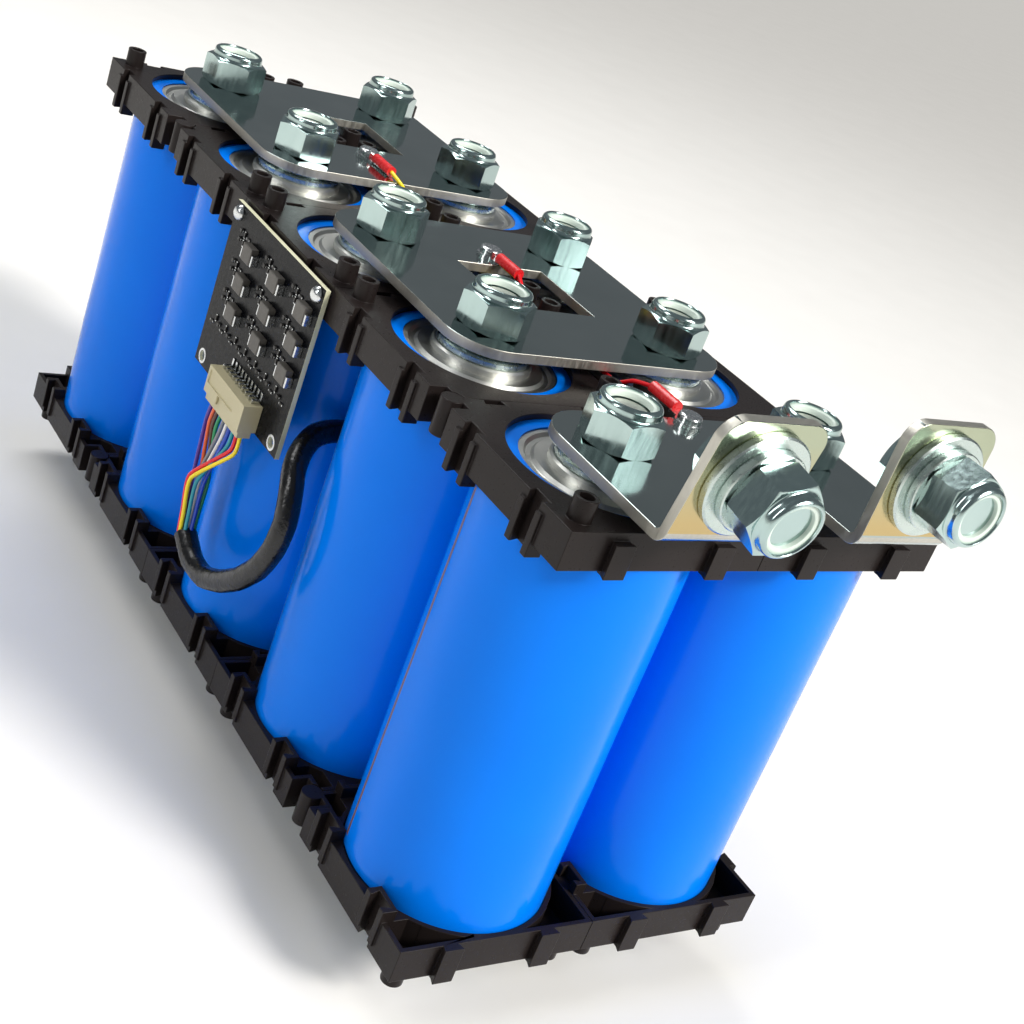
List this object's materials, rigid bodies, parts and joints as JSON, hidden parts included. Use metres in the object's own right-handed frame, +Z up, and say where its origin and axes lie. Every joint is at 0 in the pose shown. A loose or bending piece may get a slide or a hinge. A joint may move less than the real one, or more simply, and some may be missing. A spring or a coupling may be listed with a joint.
{
  "type": "supercapacitor pack",
  "caption": "Supercapacitor pack: blue cells held in black snap-together trays, with bright bus plates, upturned terminal lugs and a wired balance board.",
  "frame": {"origin": "under the middle of the whole pack, on the surface that it stands on", "axes": "+Z up along the cells, -Y towards the terminal lugs, -X towards the balance board"},
  "size_m": [0.1438, 0.359, 0.2022],
  "materials": {
    "can_aluminium": "drawn, satin",
    "blue_sleeve": "glossy shrink sleeve",
    "tray_plastic": "moulded, satin black",
    "bus_plate": "bright plated, near mirror",
    "washer_steel": "zinc plated",
    "zinc_steel": "zinc plated, faint blue",
    "board_laminate": "solder mask, satin",
    "resistor_body": "moulded",
    "header_plastic": "moulded nylon",
    "red_sleeve": "shrink sleeve",
    "lead_insulation": "extruded",
    "black_sleeve": "shrink sleeve"
  },
  "bodies": {
    "root": {"cell_a1": "can_aluminium", "cell_a2": "can_aluminium", "cell_a3": "can_aluminium", "cell_a4": "can_aluminium", "cell_a5": "can_aluminium", "cell_b1": "can_aluminium", "cell_b2": "can_aluminium", "cell_b3": "can_aluminium", "cell_b4": "can_aluminium", "cell_b5": "can_aluminium", "sleeve_a1": "blue_sleeve", "sleeve_a2": "blue_sleeve", "sleeve_a3": "blue_sleeve", "sleeve_a4": "blue_sleeve", "sleeve_a5": "blue_sleeve", "sleeve_b1": "blue_sleeve", "sleeve_b2": "blue_sleeve", "sleeve_b3": "blue_sleeve", "sleeve_b4": "blue_sleeve", "sleeve_b5": "blue_sleeve", "top_module_a1": "tray_plastic", "top_module_a2": "tray_plastic", "top_module_a3": "tray_plastic", "top_module_a4": "tray_plastic", "top_module_a5": "tray_plastic", "top_module_b1": "tray_plastic", "top_module_b2": "tray_plastic", "top_module_b3": "tray_plastic", "top_module_b4": "tray_plastic", "top_module_b5": "tray_plastic", "bottom_module_a1": "tray_plastic", "bottom_module_a2": "tray_plastic", "bottom_module_a3": "tray_plastic", "bottom_module_a4": "tray_plastic", "bottom_module_a5": "tray_plastic", "bottom_module_b1": "tray_plastic", "bottom_module_b2": "tray_plastic", "bottom_module_b3": "tray_plastic", "bottom_module_b4": "tray_plastic", "bottom_module_b5": "tray_plastic", "top_plate_rear": "bus_plate", "top_plate_middle": "bus_plate", "terminal_plate": "bus_plate", "bottom_plate_rear": "bus_plate", "bottom_plate_middle": "bus_plate", "bottom_plate_front": "bus_plate", "terminal_washers": "washer_steel", "terminal_nuts": "zinc_steel", "lug_bolts": "zinc_steel", "lug_washers": "washer_steel", "lug_nuts": "zinc_steel", "balance_board": "board_laminate", "board_screws": "zinc_steel", "board_resistors": "resistor_body", "board_header": "header_plastic", "wire_plug": "header_plastic", "tap_terminals": "red_sleeve", "tap_screws": "zinc_steel", "tap_leads": "lead_insulation", "harness_sleeve": "black_sleeve"}
  },
  "joints": []
}
